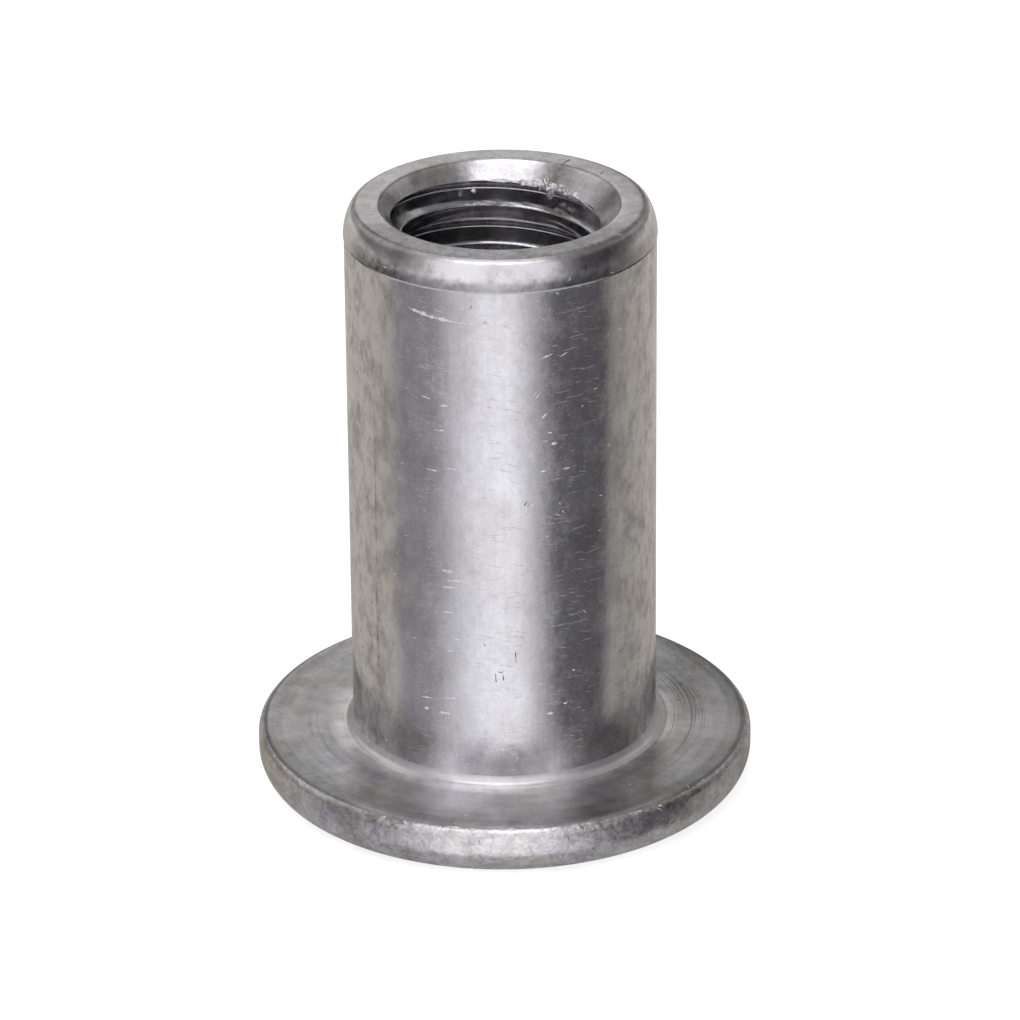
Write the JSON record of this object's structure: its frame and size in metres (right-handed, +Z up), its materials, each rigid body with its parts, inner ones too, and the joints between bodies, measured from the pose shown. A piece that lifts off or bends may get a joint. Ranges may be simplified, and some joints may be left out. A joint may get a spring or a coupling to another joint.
{
  "type": "flange rivet nut",
  "caption": "Open-ended round rivet nut: a smooth sleeve on a flat flange, with a female thread at its far end, set in a drilled panel so that a screw can fasten to it.",
  "frame": {"origin": "centre of the flange's outer face, which the nut stands on", "axes": "+Z up the bore, from the flange to the threaded end; X and Y are free, because the body is round"},
  "size_m": [0.0172, 0.0172, 0.0211],
  "materials": {
    "nut_metal": "bare, satin from forming and tumbling"
  },
  "bodies": {
    "root": {"rivet_nut": "nut_metal"}
  },
  "joints": []
}
